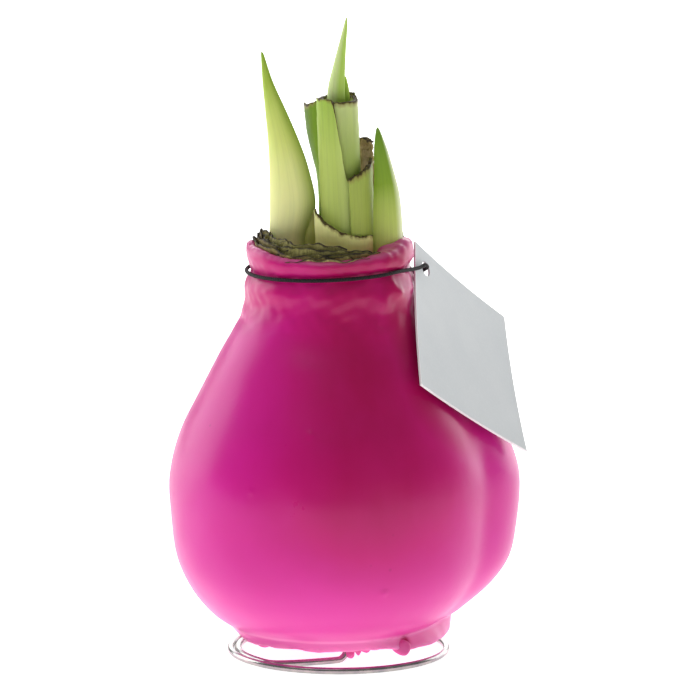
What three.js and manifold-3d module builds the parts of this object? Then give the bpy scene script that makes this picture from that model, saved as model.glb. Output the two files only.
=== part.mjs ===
// A waxed amaryllis bulb with cut leaves, on a coiled wire stand, with a card tag on an elastic loop.
// Millimetres, +Z up. The front is -Y and the tag hangs on the +X side. Everything is placed about the bulb's
// own axis, and the whole group is then moved so that its origin is the middle of its footprint on the table.
import * as THREE from "three";
import { mergeVertices } from "three/addons/utils/BufferGeometryUtils.js";
import Module from "manifold-3d";

const wasm = await Module();
wasm.setup();

const { smoothstep, degToRad } = THREE.MathUtils;

// ---------------------------------------------------------------- driving dimensions

const GAP = 0.3; // clearance between pieces that touch
const FOOTPRINT_X = 4.7; // the footprint's middle, from the bulb's axis

// The wax skin, as [radius, height] from the middle of its base to the rim round the neck.
const WAX_OUTLINE = [
  [0, 5.0], [12, 5.0], [20, 5.5], [25.6, 7.2], [31.6, 11.2], [36.9, 17.8], [40.3, 26.5], [41.9, 41],
  [41.2, 50.5], [38.5, 59.5], [33.9, 69], [29.2, 78.3], [25.3, 85.2], [22.7, 91.5], [21.9, 96.8],
  [20.9, 101.2], [21.9, 105], [21.2, 106.8],
];
const WAX = 1.5; // thickness of the skin
const BULB_TOP = 99; // the cut face of the bulb, down inside the rim
const AROUND = 40; // facets round the bulb

// A daughter bulb swells one side of the main one.
const LOBE = { azimuth: 18, rise: 0.218, radius: 0.6, foot: [-12, 26], head: [45, 95] };

// Where the stand's coil lies, and the wire it is bent from.
const STAND = { x: 2.6, y: -2.4, radius: 28.6, wire: 0.9, firstTurn: 26.3 };
const SPIKE = { x: 4.4, y: -16.8, top: 24, bend: 3.2 };

// The square card: its bow is how far two opposite corners curl out from the other two.
const TAG = { side: 44, thick: 0.6, bow: 2.5, hole: 2, inset: 5.4, azimuth: -24.9, lean: 27.3, spin: 37.2 };
const TAG_CORNER = [20, 5, 106.2];
const ELASTIC = 0.45; // radius

// The middle stem leans to the left as it rises: its axis at the bulb's top, and at its own cut top.
const STEM_FOOT = new THREE.Vector3(4.2, -0.9, BULB_TOP);
const STEM_HEAD = new THREE.Vector3(2.2, 0, 145);

// ---------------------------------------------------------------- solids

// A closed mesh as a manifold-3d solid, to cut and join with. Corners that met at one point leave no triangle.
function solid(geometry) {
  geometry.deleteAttribute("normal");
  geometry.deleteAttribute("uv");
  const merged = mergeVertices(geometry, 1e-3);
  const corners = merged.index.array;
  const triangles = [];
  for (let i = 0; i < corners.length; i += 3) {
    const [a, b, c] = corners.slice(i, i + 3);
    if (a !== b && b !== c && c !== a) triangles.push(a, b, c);
  }
  return new wasm.Manifold(new wasm.Mesh({
    numProp: 3,
    vertProperties: merged.attributes.position.array,
    triVerts: new Uint32Array(triangles),
  }));
}

function geometryOf(manifold) {
  const { vertProperties, triVerts } = manifold.getMesh();
  return new THREE.BufferGeometry()
    .setAttribute("position", new THREE.BufferAttribute(vertProperties, 3))
    .setIndex(new THREE.BufferAttribute(triVerts, 1));
}

// Moves every vertex of a geometry to where place(point) puts it.
function reshape(geometry, place) {
  const at = geometry.attributes.position;
  const point = new THREE.Vector3();
  for (let i = 0; i < at.count; i++) {
    point.fromBufferAttribute(at, i);
    place(point);
    at.setXYZ(i, point.x, point.y, point.z);
  }
  return geometry;
}

function material(color, roughness, metalness = 0) {
  return new THREE.MeshStandardMaterial({ color, roughness, metalness });
}

const WAX_PINK = material(0xb8176b, 0.35);
const BULB_FLESH = material(0xb9a878, 0.8);
const STEEL = material(0xc9c7c4, 0.25, 1);
const ELASTIC_BLACK = material(0x2a1420, 0.6);
const CARD_GREY = material(0xd0d6d8, 0.7);
const LEAF_GREEN = material(0x9fbf4f, 0.45);
const LEAF_PALE = material(0xcdd48a, 0.5);
const DRY_BROWN = material(0x5a4c28, 0.9);

const model = new THREE.Group();

function add(name, geometry, finish) {
  const mesh = new THREE.Mesh(geometry, finish);
  mesh.name = name;
  model.add(mesh);
  return mesh;
}

// ---------------------------------------------------------------- the wax skin and the bulb in it

// The skin's outline, moved inwards by a distance, at even steps from the base's middle to the rim.
function outline(inwards, steps = 22) {
  const curve = new THREE.SplineCurve(WAX_OUTLINE.map(([r, z]) => new THREE.Vector2(r, z)));
  return curve.getSpacedPoints(steps).map((point, i) => {
    const along = curve.getTangentAt(i / steps);
    return new THREE.Vector2(Math.max(0, point.x - along.y * inwards), point.y + along.x * inwards);
  });
}

// How far the daughter bulb pushes the surface out, as a share of the radius there.
function swell(azimuth, z) {
  const share = LOBE.rise * smoothstep(z, ...LOBE.foot) * (1 - smoothstep(z, ...LOBE.head));
  const offset = 1 + share - LOBE.radius;
  const turn = azimuth - degToRad(LOBE.azimuth);
  const across = offset * Math.sin(turn);
  if (Math.cos(turn) < 0 || Math.abs(across) >= LOBE.radius) return 0;
  return Math.max(0, offset * Math.cos(turn) + Math.sqrt(LOBE.radius ** 2 - across ** 2) - 1);
}

// Revolves [radius, height] points round +Z, and swells the result where the daughter bulb is.
function revolve(points) {
  const geometry = new THREE.LatheGeometry(points, AROUND).rotateX(Math.PI / 2);
  return reshape(geometry, (p) => {
    const grown = 1 + swell(Math.atan2(p.y, p.x), p.z);
    p.x *= grown;
    p.y *= grown;
  });
}

// A solid inside the skin's outline, closed by a flat top at a height.
function pear(inwards, top) {
  const points = outline(inwards);
  const below = points.filter((p) => p.y < top);
  const last = below[below.length - 1];
  const next = points[below.length] ?? last;
  const share = next === last ? 0 : (top - last.y) / (next.y - last.y);
  const rim = last.x + (next.x - last.x) * share;
  return solid(revolve([...below, new THREE.Vector2(rim, top), new THREE.Vector2(0, top)]));
}

function ball(x, y, z, rx, ry = rx, rz = rx) {
  return solid(new THREE.SphereGeometry(1, 12, 8).rotateX(Math.PI / 2).scale(rx, ry, rz).translate(x, y, z));
}

// Wax that ran down and set under the base: drops, and one broad skirt on the tag side.
function waxDrips() {
  const skirt = blade({
    face: 340, cup: 52, across: 10, along: 3, edge: 0.2,
    lift: (x) => 0.12 + 0.08 * Math.sin(7 * x) + 0.45 * x ** 4,
    rows: [[25.4, -9.2, 1.8, 49, 3.6], [26.6, -9.7, 7, 51, 5], [27.6, -10, 12.5, 53, 5]],
  });
  return [
    solid(skirt),
    ball(-20.6, -7.2, 4.9, 2.4, 2.2, 2.4),
    ball(-16.8, -11.6, 4.4, 2.2, 1.9, 2.2),
    ball(18.4, -14.8, 4.2, 2.6, 2.2, 3.0),
    ball(5.3, -17.4, 3.5, 1.7, 1.6, 2.6),
    ball(-15.2, 15.4, 4.6, 3.0, 2.6, 2.4),
    ball(12.6, 20.4, 4.8, 2.8, 2.6, 2.6),
  ];
}

// ---------------------------------------------------------------- leaves, sheaths and scales

// A thin curved blade: a box bent to shape. Each row is [x, y, z, width, thickness, twist] of a level section
// whose middle is at x, y. The section is an arc that bulges towards the azimuth face + twist, and spans cup
// degrees to each side. At each place across it, from -1 to 1, it starts at lift(across) and stops at
// cut(across), as shares of its length.
function blade({ rows, face, cup, lift = () => 0, cut = () => 1, across = 6, along = 10, edge = 0.75 }) {
  const middle = new THREE.CatmullRomCurve3(rows.map(([x, y, z]) => new THREE.Vector3(x, y, z)));
  const section = new THREE.CatmullRomCurve3(rows.map((row) => new THREE.Vector3(row[3], row[4], row[5] ?? 0)));
  const half = degToRad(cup);
  const box = new THREE.BoxGeometry(2, 1, 1, across, 1, along).translate(0, 0, 0.5);
  return reshape(box, (p) => {
    const t = lift(p.x) + p.z * (cut(p.x) - lift(p.x));
    const centre = middle.getPoint(t);
    const size = section.getPoint(t);
    const radius = size.x / 2 / half;
    const facing = degToRad(face + size.z);
    const turn = facing + p.x * half;
    const reach = radius - p.y * size.y * (1 - edge * p.x * p.x);
    p.set(
      centre.x + reach * Math.cos(turn) - radius * Math.cos(facing),
      centre.y + reach * Math.sin(turn) - radius * Math.sin(facing),
      centre.z,
    );
  });
}

// A point on a ring of leaf bases round an axis that runs from foot to head.
function ringPoint(foot, head, radius, azimuth, z) {
  const axis = foot.clone().lerp(head, (z - foot.z) / (head.z - foot.z));
  const turn = degToRad(azimuth);
  return [axis.x + radius * Math.cos(turn), axis.y + radius * Math.sin(turn), z];
}

// A sheath that wraps part of the way round an axis, between two azimuths, from the bulb's top to a height.
function sheath({ foot, head, radius, thick, from, to, top, cut, across = 8, along = 6 }) {
  const face = (from + to) / 2;
  const cup = (to - from) / 2;
  const width = 2 * radius * degToRad(cup);
  const base = BULB_TOP + GAP;
  const rows = [base, (base + top) / 2, top].map((z) => [
    ...ringPoint(foot, head, radius, face, z), width, thick,
  ]);
  return blade({ rows, face, cup, cut, across, along, edge: 0.3 });
}

// Whole leaves that end in a point. Their rows start on the bulb's top.
const LEAVES = {
  left_leaf: {
    face: 262, cup: 25, along: 14,
    rows: [
      [-10.8, 0.4, 99.3, 10.0, 5.2], [-10.7, 0.4, 109.5, 10.6, 5.0], [-9.8, 0.4, 118, 12.3, 4.6],
      [-10.7, 0.3, 127, 10.6, 3.9], [-12.0, 0.2, 134, 8.5, 3.2], [-14.1, 0.1, 142.4, 5.6, 2.4],
      [-16.1, 0, 150, 2.8, 1.6], [-17.6, 0, 157.8, 0.7, 0.6],
    ],
  },
  tucked_leaf: {
    face: 215, cup: 25, across: 4, along: 6,
    rows: [[-6.4, -4.4, 99.3, 3.2, 1.2], [-6.0, -4.2, 109.5, 3.0, 1.1], [-5.2, -3.8, 115, 0.8, 0.6]],
  },
  right_leaf: {
    face: 285, cup: 35, along: 12,
    rows: [
      [15.6, -5.0, 99.3, 8.0, 3.0], [15.6, -5.0, 110, 7.8, 2.9], [15.3, -5.0, 119.6, 7.0, 2.6],
      [14.6, -5.0, 125.6, 5.5, 2.3], [13.4, -5.1, 132.6, 3.6, 1.7], [12.3, -5.2, 138.8, 0.7, 0.6],
    ],
  },
  right_leaf_inner: {
    face: 290, cup: 30, across: 4,
    rows: [
      [16.2, -1.9, 99.3, 6.4, 1.2], [16.2, -1.9, 109.5, 6.4, 1.2], [15.8, -2.0, 119.5, 5.2, 1.1],
      [14.9, -2.2, 126.5, 3.0, 0.9], [14.2, -2.4, 131.5, 0.7, 0.5],
    ],
  },
  tip_leaf: {
    face: 250, cup: 40, along: 16,
    rows: [
      [4.0, -1.0, 99.3, 4.6, 1.4], [2.5, -0.8, 128, 5.6, 1.4], [1.2, -0.9, 142, 6.4, 1.4],
      [1.2, -0.7, 148, 6.0, 1.4], [2.1, -0.3, 154, 4.2, 1.3], [3.2, 0, 160.2, 2.4, 1.0],
      [4.0, 0, 164.5, 1.3, 0.8], [4.3, 0, 166.7, 0.5, 0.5],
    ],
  },
  tip_leaf_inner: {
    face: 250, cup: 30, across: 4,
    rows: [
      [5.4, 0.6, 99.3, 2.0, 0.8], [4.7, 0.9, 128, 2.2, 0.8], [4.1, 1.0, 145.5, 2.2, 0.8],
      [4.1, 0.9, 151.2, 0.5, 0.4],
    ],
  },
};

// Leaves that were cut off, wrapped one outside another round the middle stem.
const STEM = { foot: STEM_FOOT, head: STEM_HEAD };
const SHEATHS = {
  inner_sheath: { ...STEM, radius: 4.6, thick: 1.0, from: 95, to: 437, top: 146.5, across: 16,
    cut: (x) => 0.97 + 0.03 * x * x },
  front_sheath: { ...STEM, radius: 5.85, thick: 0.9, from: 197, to: 306, top: 146, across: 12,
    cut: (x) => (x < 0.1 ? 1 : x < 0.55 ? 1 - (x - 0.1) : 0.55 + 0.12 * (x - 0.55)) },
  back_sheath: { ...STEM, radius: 5.85, thick: 0.9, from: 34, to: 96, top: 148,
    cut: (x) => 0.98 - 0.06 * x * x },
  lower_sheath: { ...STEM, radius: 7.5, thick: 1.2, from: 284, to: 368, top: 131,
    cut: (x) => 0.9 + 0.07 * x },
  base_scale: { ...STEM, radius: 9.0, thick: 1.2, from: 220, to: 322, top: 117.5,
    cut: (x) => 0.69 - 0.18 * x + 0.13 * x * x },
};

// Cut leaves that stand clear of the stem.
const CUT_LEAVES = {
  left_cut_leaf: {
    face: 150, cup: 28, across: 8, cut: (x) => 0.955 + 0.01 * x + 0.03 * x * x,
    rows: [
      [-1.5, 4.1, 99.3, 4.8, 1.0], [-2.1, 4.1, 113, 4.8, 1.0, 4], [-2.8, 3.9, 124, 5.2, 1.0, 20],
      [-4.2, 3.4, 130, 6.8, 1.0, 36], [-5.5, 3.0, 136.5, 7.4, 1.0, 48], [-6.1, 2.6, 146, 7.4, 0.9, 60],
    ],
  },
  dry_stub: {
    face: 40, cup: 30, cut: (x) => 1 - 0.05 * Math.abs(x - 0.2),
    rows: [[10.6, 4.8, 99.3, 7.0, 1.3], [9.9, 5.1, 125, 7.0, 1.3], [9.3, 5.3, 134.6, 6.4, 1.5]],
  },
};

// Dry outer scales of the bulb, torn off short inside the wax rim: [from, to, radius, top].
const NECK = { foot: new THREE.Vector3(0, 0, BULB_TOP), head: new THREE.Vector3(0, 0, 110), thick: 0.9 };
const DRY_SCALES = {
  dry_scale_left: [130, 233, 18.5, 110.5],
  dry_scale_left_inner: [140, 216, 16.9, 109],
  dry_scale_front: [238, 306, 18.5, 108.5],
  dry_scale_front_inner: [222, 302, 16.9, 110],
  dry_scale_back: [48, 126, 18.5, 109.5],
  dry_scale_back_inner: [42, 134, 16.9, 110.5],
  dry_scale_right: [8, 43, 18.5, 109],
};

function addLeaves() {
  for (const [name, leaf] of Object.entries(LEAVES)) add(name, blade(leaf), LEAF_GREEN);
  for (const [name, wrap] of Object.entries(SHEATHS)) {
    add(name, sheath(wrap), name === "base_scale" ? LEAF_PALE : LEAF_GREEN);
  }
  for (const [name, leaf] of Object.entries(CUT_LEAVES)) {
    add(name, blade(leaf), name === "dry_stub" ? DRY_BROWN : LEAF_GREEN);
  }
  for (const [name, [from, to, radius, top]] of Object.entries(DRY_SCALES)) {
    add(name, sheath({ ...NECK, from, to, radius, top, along: 3 }), DRY_BROWN);
  }
}

// ---------------------------------------------------------------- the wire stand

// A round wire's section, with a flat on each side of the frame's two axes.
function roundSection(radius, sides = 8) {
  const corner = radius / Math.cos(Math.PI / sides);
  const points = Array.from({ length: sides }, (_, i) => {
    const turn = ((i + 0.5) * 2 * Math.PI) / sides;
    return new THREE.Vector2(corner * Math.cos(turn), corner * Math.sin(turn));
  });
  return new THREE.Shape(points);
}

// The wire's centreline: down the spike, out to the coil, and once and a quarter round it.
function wirePath() {
  const { x, y, wire } = STAND;
  const points = [
    new THREE.Vector3(SPIKE.x, SPIKE.y, SPIKE.top),
    new THREE.Vector3(SPIKE.x, SPIKE.y, (SPIKE.top + SPIKE.bend) / 2),
    new THREE.Vector3(SPIKE.x, SPIKE.y, SPIKE.bend + 1),
    new THREE.Vector3(SPIKE.x - 1.1, SPIKE.y - 0.5, wire + 0.5),
    new THREE.Vector3(SPIKE.x - 3.4, SPIKE.y - 1.4, wire),
    new THREE.Vector3(x - 7.6, y - 17.9, wire),
    new THREE.Vector3(x - 13.0, y - 19.3, wire),
  ];
  const start = degToRad(227);
  const turned = degToRad(438);
  const steps = 36;
  for (let i = 0; i <= steps; i++) {
    const share = i / steps;
    const angle = start - turned * share;
    const radius = THREE.MathUtils.lerp(STAND.firstTurn, STAND.radius, Math.min(1, share * 1.25));
    points.push(new THREE.Vector3(x + radius * Math.cos(angle), y + radius * Math.sin(angle), wire));
  }
  return new THREE.CatmullRomCurve3(points, false, "centripetal");
}

// Frames whose first axis stays level, so that the wire's flats face straight down on the table.
function levelFrames(path, steps) {
  const up = new THREE.Vector3(0, 0, 1);
  const frames = { tangents: [], normals: [], binormals: [] };
  const first = path.getTangentAt(0.15);
  let level = new THREE.Vector3().crossVectors(up, first).normalize();
  for (let i = 0; i <= steps; i++) {
    const tangent = path.getTangentAt(i / steps);
    const side = new THREE.Vector3().crossVectors(up, tangent);
    if (side.length() > 0.3) level = side.normalize();
    const normal = level.clone().addScaledVector(tangent, -level.dot(tangent)).normalize();
    frames.tangents.push(tangent);
    frames.normals.push(normal);
    frames.binormals.push(new THREE.Vector3().crossVectors(tangent, normal));
  }
  return frames;
}

// The wire at a radius, kept at or above the table.
function wire(radius, steps = 66) {
  const path = wirePath();
  path.computeFrenetFrames = (count) => levelFrames(path, count);
  const geometry = new THREE.ExtrudeGeometry(roundSection(radius), {
    steps, extrudePath: path, bevelEnabled: false,
  });
  return reshape(geometry, (p) => {
    p.z = Math.max(0, p.z);
  });
}

// ---------------------------------------------------------------- the tag and its elastic loop

// The card's own axes: along its top edge, up its left edge, and out of its printed face.
function tagAxes() {
  const azimuth = degToRad(TAG.azimuth);
  const lean = degToRad(TAG.lean);
  const spin = degToRad(TAG.spin);
  const out = new THREE.Vector3(
    Math.cos(lean) * Math.cos(azimuth), Math.cos(lean) * Math.sin(azimuth), Math.sin(lean),
  );
  const level = new THREE.Vector3(0, 0, 1).cross(out).normalize();
  const rising = out.clone().cross(level);
  const top = level.clone().multiplyScalar(Math.cos(spin)).addScaledVector(rising, -Math.sin(spin));
  return { top, left: out.clone().cross(top), out };
}

// A place on the card: along its top edge and down its left edge from the corner by the hole, and proud of it.
function onTag(along, down, proud) {
  const { top, left, out } = tagAxes();
  const bow = TAG.bow * ((along + down) / TAG.side - 1) ** 2;
  return new THREE.Vector3(...TAG_CORNER)
    .addScaledVector(top, along).addScaledVector(left, -down).addScaledVector(out, proud + bow);
}

function tag() {
  const { side, thick, hole, inset } = TAG;
  const card = new THREE.BoxGeometry(side, side, thick, 8, 8, 1).translate(side / 2, -side / 2, 0);
  const punch = new THREE.CylinderGeometry(hole, hole, 4, 14).rotateX(Math.PI / 2).translate(inset, -inset, 0);
  return reshape(geometryOf(solid(card).subtract(solid(punch))), (p) => {
    p.copy(onTag(p.x, -p.y, p.z));
  });
}

// The elastic's centreline: round the neck's waist, out along the tag's face, in through its hole and back.
function elasticPath() {
  const radius = 20.9 + GAP + ELASTIC + 0.1;
  const neck = [];
  const from = 326;
  const to = 38;
  const steps = 20;
  for (let i = 0; i <= steps; i++) {
    const turn = degToRad(THREE.MathUtils.lerp(from, to, i / steps));
    const z = 101.5 + 0.9 * Math.cos(turn);
    neck.push(new THREE.Vector3(radius * Math.cos(turn), radius * Math.sin(turn), z));
  }
  return new THREE.CatmullRomCurve3([
    ...neck,
    onTag(TAG.inset + 1.4, TAG.inset + 0.4, -2.6),
    onTag(TAG.inset + 0.2, TAG.inset, -0.9),
    onTag(TAG.inset - 0.3, TAG.inset, 0.9),
    onTag(TAG.inset - 2.6, TAG.inset + 0.8, 1.5),
    onTag(0.2, TAG.inset + 3.0, 1.2),
  ], true, "centripetal");
}

function elasticLoop() {
  const loop = solid(new THREE.TubeGeometry(elasticPath(), 60, ELASTIC, 6, true));
  const knot = ball(-1.9, 22.4, 101.4, 1.5, 1.0, 1.1);
  return geometryOf(loop.add(knot));
}

// ---------------------------------------------------------------- assembly

const wireRoom = solid(wire(STAND.wire + GAP));
const skin = waxDrips().reduce((whole, drip) => whole.add(drip), pear(0, 106.9));
add("wax_coat", geometryOf(skin.subtract(pear(WAX, 112)).subtract(wireRoom)), WAX_PINK);
add("bulb", geometryOf(pear(WAX + GAP, BULB_TOP).subtract(wireRoom)), BULB_FLESH);
add("wire_stand", wire(STAND.wire), STEEL);
add("tag", tag(), CARD_GREY);
add("elastic_loop", elasticLoop(), ELASTIC_BLACK);
addLeaves();

model.position.x = -FOOTPRINT_X;

export default model;
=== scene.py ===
"""Looks for a waxed amaryllis bulb on a wire stand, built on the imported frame.

Lengths below are millimetres about the bulb's own axis, as in the CAD, and become metres in the row frame
when a mesh is made.
"""
import math

import bpy
import numpy as np
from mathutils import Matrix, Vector


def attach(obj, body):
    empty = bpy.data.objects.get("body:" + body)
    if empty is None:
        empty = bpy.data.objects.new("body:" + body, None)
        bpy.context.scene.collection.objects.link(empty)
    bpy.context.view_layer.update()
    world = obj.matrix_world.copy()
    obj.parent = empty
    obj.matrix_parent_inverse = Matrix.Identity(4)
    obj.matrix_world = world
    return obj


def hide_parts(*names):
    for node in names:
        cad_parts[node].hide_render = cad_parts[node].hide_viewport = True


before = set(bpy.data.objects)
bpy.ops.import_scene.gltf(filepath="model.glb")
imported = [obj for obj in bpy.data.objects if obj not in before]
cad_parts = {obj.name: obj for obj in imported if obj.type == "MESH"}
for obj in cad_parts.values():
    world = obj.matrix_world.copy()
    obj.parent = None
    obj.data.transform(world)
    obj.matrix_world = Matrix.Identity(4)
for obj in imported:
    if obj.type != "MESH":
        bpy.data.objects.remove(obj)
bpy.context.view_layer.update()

TAU = 2 * math.pi
FOOTPRINT_X = 4.7  # the footprint's middle, from the bulb's axis
BULB_TOP = 99.3  # where the leaves stand


# ---------------------------------------------------------------- numbers

def smoothstep(x, low, high):
    t = np.clip((np.asarray(x, float) - low) / (high - low), 0, 1)
    return t * t * (3 - 2 * t)


def bump(x, middle, width):
    return np.exp(-(((np.asarray(x, float) - middle) / width) ** 2))


def turn_from(azimuth, middle):
    """Degrees from one azimuth to another, from -180 to 180."""
    return (np.asarray(azimuth, float) - middle + 180) % 360 - 180


def waves(points, size, seed, count=14):
    """A smooth random field from about -1 to 1, with features of about a size, from seeded sine waves."""
    rng = np.random.default_rng(seed)
    points = np.asarray(points, float)
    total = np.zeros(points.shape[:-1])
    for _ in range(count):
        way = rng.normal(size=points.shape[-1])
        way *= TAU / size * rng.uniform(0.45, 1.25) / np.linalg.norm(way)
        total += np.sin(points @ way + rng.uniform(0, TAU))
    return total / math.sqrt(count / 2) * 0.6


def ragged(x, seed, count, low, high):
    """A torn outline: straight runs between random heights at uneven places."""
    rng = np.random.default_rng(seed)
    x = np.asarray(x, float)
    knots = np.linspace(x.min(), x.max(), count)
    knots[1:-1] += rng.uniform(-0.42, 0.42, count - 2) * (knots[1] - knots[0])
    return np.interp(x, knots, rng.uniform(low, high, count))


def catmull(points, steps, closed=False):
    """Catmull-Rom through the points, the same number of steps from each to the next."""
    p = np.asarray(points, float)
    if closed:
        p = np.vstack([p[-1], p, p[0], p[1]])
    else:
        p = np.vstack([2 * p[0] - p[1], p, 2 * p[-1] - p[-2]])
    t = np.linspace(0, 1, steps, endpoint=False)[:, None]
    runs = []
    for a, b, c, d in zip(p, p[1:], p[2:], p[3:]):
        runs.append(0.5 * (2 * b + (c - a) * t + (2 * a - 5 * b + 4 * c - d) * t ** 2
                           + (3 * b - a - 3 * c + d) * t ** 3))
    return np.vstack([*runs, p[-2][None]])


def spline(points, steps, closed=False):
    """Catmull-Rom through the points, at even steps along its length."""
    fine = catmull(points, 24, closed)
    length = np.concatenate([[0], np.cumsum(np.linalg.norm(np.diff(fine, axis=0), axis=1))])
    at = np.linspace(0, length[-1], steps + 1)
    out = np.stack([np.interp(at, length, fine[:, k]) for k in range(fine.shape[1])], axis=1)
    return out[:-1] if closed else out


def rows_at(rows, t):
    """A table of rows, read smoothly at shares of its length."""
    fine = catmull(rows, 16)
    place = np.clip(t, 0, 1) * (len(fine) - 1)
    return np.stack([np.interp(place, np.arange(len(fine)), column) for column in fine.T], axis=-1)


# ---------------------------------------------------------------- meshes

def rings_to_faces(rows, columns, first=0, wrap=True):
    """Quads between successive rings of vertices."""
    last = columns if wrap else columns - 1
    j = np.arange(last)
    k = (j + 1) % columns
    faces = []
    for i in range(rows - 1):
        a = first + i * columns
        b = a + columns
        faces.append(np.stack([a + j, a + k, b + k, b + j], axis=1))
    return np.vstack(faces)


def make(name, verts, faces, material, nodes, fields=None):
    """A smooth mesh piece that stands for CAD nodes, with named values at its vertices."""
    verts = (np.asarray(verts, float).reshape(-1, 3) - (FOOTPRINT_X, 0, 0)) / 1000
    mesh = bpy.data.meshes.new(name)
    mesh.from_pydata(verts.tolist(), [], [list(f) for f in faces])
    for field, values in (fields or {}).items():
        layer = mesh.attributes.new(field, "FLOAT", "POINT")
        layer.data.foreach_set("value", np.asarray(values, np.float32).ravel())
    mesh.polygons.foreach_set("use_smooth", [True] * len(mesh.polygons))
    mesh.materials.append(material)
    mesh.update()
    obj = bpy.data.objects.new(name, mesh)
    bpy.context.scene.collection.objects.link(obj)
    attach(obj, "root")
    if nodes:
        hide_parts(*nodes)
    return obj


def join(parts):
    """Several (verts, faces, fields) as one."""
    verts, faces, fields, count = [], [], {}, 0
    for v, f, values in parts:
        verts.append(np.asarray(v).reshape(-1, 3))
        faces += [[int(i) + count for i in face] for face in f]
        for key, value in values.items():
            fields.setdefault(key, []).append(np.asarray(value).ravel())
        count += len(verts[-1])
    return np.vstack(verts), faces, {key: np.concatenate(value) for key, value in fields.items()}


def tube(path, radius, sides=16, closed=False, shape=None):
    """A round tube on a path. shape(ring angle, share along) scales its radius."""
    path = np.asarray(path, float)
    ahead = np.roll(path, -1, 0) - np.roll(path, 1, 0)
    if not closed:
        ahead[0] = path[1] - path[0]
        ahead[-1] = path[-1] - path[-2]
    ahead /= np.linalg.norm(ahead, axis=1)[:, None]
    normal = np.cross(ahead[0], (0.31, 0.17, 0.94))
    normals = []
    for direction in ahead:
        normal = normal - direction * (normal @ direction)
        normal /= np.linalg.norm(normal)
        normals.append(normal)
    normals = np.array(normals)
    sideways = np.cross(ahead, normals)
    ring = np.linspace(0, TAU, sides, endpoint=False)
    share = np.linspace(0, 1, len(path))
    size = radius * (shape(ring[None, :], share[:, None]) if shape else np.ones((len(path), sides)))
    verts = (path[:, None] + normals[:, None] * (np.cos(ring)[None, :, None] * size[..., None])
             + sideways[:, None] * (np.sin(ring)[None, :, None] * size[..., None]))
    faces = rings_to_faces(len(path), sides).tolist()
    last = (len(path) - 1) * sides
    if closed:
        faces += [[last + j, last + (j + 1) % sides, (j + 1) % sides, j] for j in range(sides)]
    else:
        faces += [list(range(sides))[::-1], [last + j for j in range(sides)]]
    fields = {"round": np.broadcast_to(ring, (len(path), sides)),
              "along": np.broadcast_to(share[:, None], (len(path), sides))}
    return verts, faces, fields


# ---------------------------------------------------------------- materials

class Nodes:
    """A material's node tree, with short calls for the nodes used here."""

    def __init__(self, name):
        self.material = bpy.data.materials.new(name)
        self.material.use_nodes = True
        self.tree = self.material.node_tree
        self.shader = self.tree.nodes["Principled BSDF"]

    def add(self, kind, **inputs):
        node = self.tree.nodes.new(kind)
        for key, value in inputs.items():
            self.feed(node, key.replace("_", " "), value)
        return node

    def feed(self, node, key, value):
        socket = node.inputs[int(key)] if key.isdigit() else node.inputs[key]
        if isinstance(value, bpy.types.NodeSocket):
            self.tree.links.new(value, socket)
        else:
            socket.default_value = value

    def set(self, **inputs):
        for key, value in inputs.items():
            self.feed(self.shader, key.replace("_", " "), value)

    def field(self, name):
        node = self.add("ShaderNodeAttribute")
        node.attribute_name = name
        return node.outputs["Fac"]

    def position(self):
        return self.add("ShaderNodeTexCoord").outputs["Object"]

    def scaled(self, x, y, z, vector=None):
        """The position, or another vector, stretched along each axis."""
        node = self.add("ShaderNodeVectorMath", **{"0": vector or self.position(), "1": (x, y, z)})
        node.operation = "MULTIPLY"
        return node.outputs["Vector"]

    def combine(self, x, y, z=0.0):
        return self.add("ShaderNodeCombineXYZ", X=x, Y=y, Z=z).outputs["Vector"]

    def noise(self, vector, scale=1.0, detail=3.0, rough=0.5, distort=0.0):
        node = self.add("ShaderNodeTexNoise", Vector=vector, Scale=scale, Detail=detail, Roughness=rough,
                        Distortion=distort)
        return node.outputs["Fac"]

    def cells(self, vector, scale=1.0):
        return self.add("ShaderNodeTexVoronoi", Vector=vector, Scale=scale).outputs["Distance"]

    def ramp(self, value, stops):
        node = self.add("ShaderNodeValToRGB", Fac=value)
        ramp = node.color_ramp
        while len(ramp.elements) < len(stops):
            ramp.elements.new(0.5)
        for element, (place, color) in zip(ramp.elements, stops):
            element.position = place
            element.color = (*linear(color), 1) if isinstance(color, tuple) else (color, color, color, 1)
        return node.outputs["Color"]

    def math(self, operation, a, b=0.0, clamp=False):
        node = self.add("ShaderNodeMath", **{"0": a, "1": b})
        node.operation = operation
        node.use_clamp = clamp
        return node.outputs["Value"]

    def remap(self, value, low, high, to_low=0.0, to_high=1.0):
        node = self.add("ShaderNodeMapRange", Value=value)
        for key, number in zip(("From Min", "From Max", "To Min", "To Max"), (low, high, to_low, to_high)):
            node.inputs[key].default_value = number
        return node.outputs["Result"]

    def mix(self, share, a, b, blend="MIX"):
        node = self.add("ShaderNodeMix")
        node.data_type = "RGBA"
        node.blend_type = blend
        for socket, value in ((node.inputs[0], share), (node.inputs[6], a), (node.inputs[7], b)):
            if isinstance(value, bpy.types.NodeSocket):
                self.tree.links.new(value, socket)
            else:
                socket.default_value = (*linear(value), 1) if isinstance(value, tuple) else value
        return node.outputs[2]

    def bump(self, height, depth_mm, strength=1.0, normal=None):
        node = self.add("ShaderNodeBump", Height=height, Strength=strength, Distance=depth_mm / 1000)
        if normal:
            self.feed(node, "Normal", normal)
        return node.outputs["Normal"]


def linear(color):
    """sRGB from 0 to 255, as linear light."""
    c = np.asarray(color[:3], float) / 255
    return tuple(np.where(c <= 0.04045, c / 12.92, ((c + 0.055) / 1.055) ** 2.4).tolist())


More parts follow.
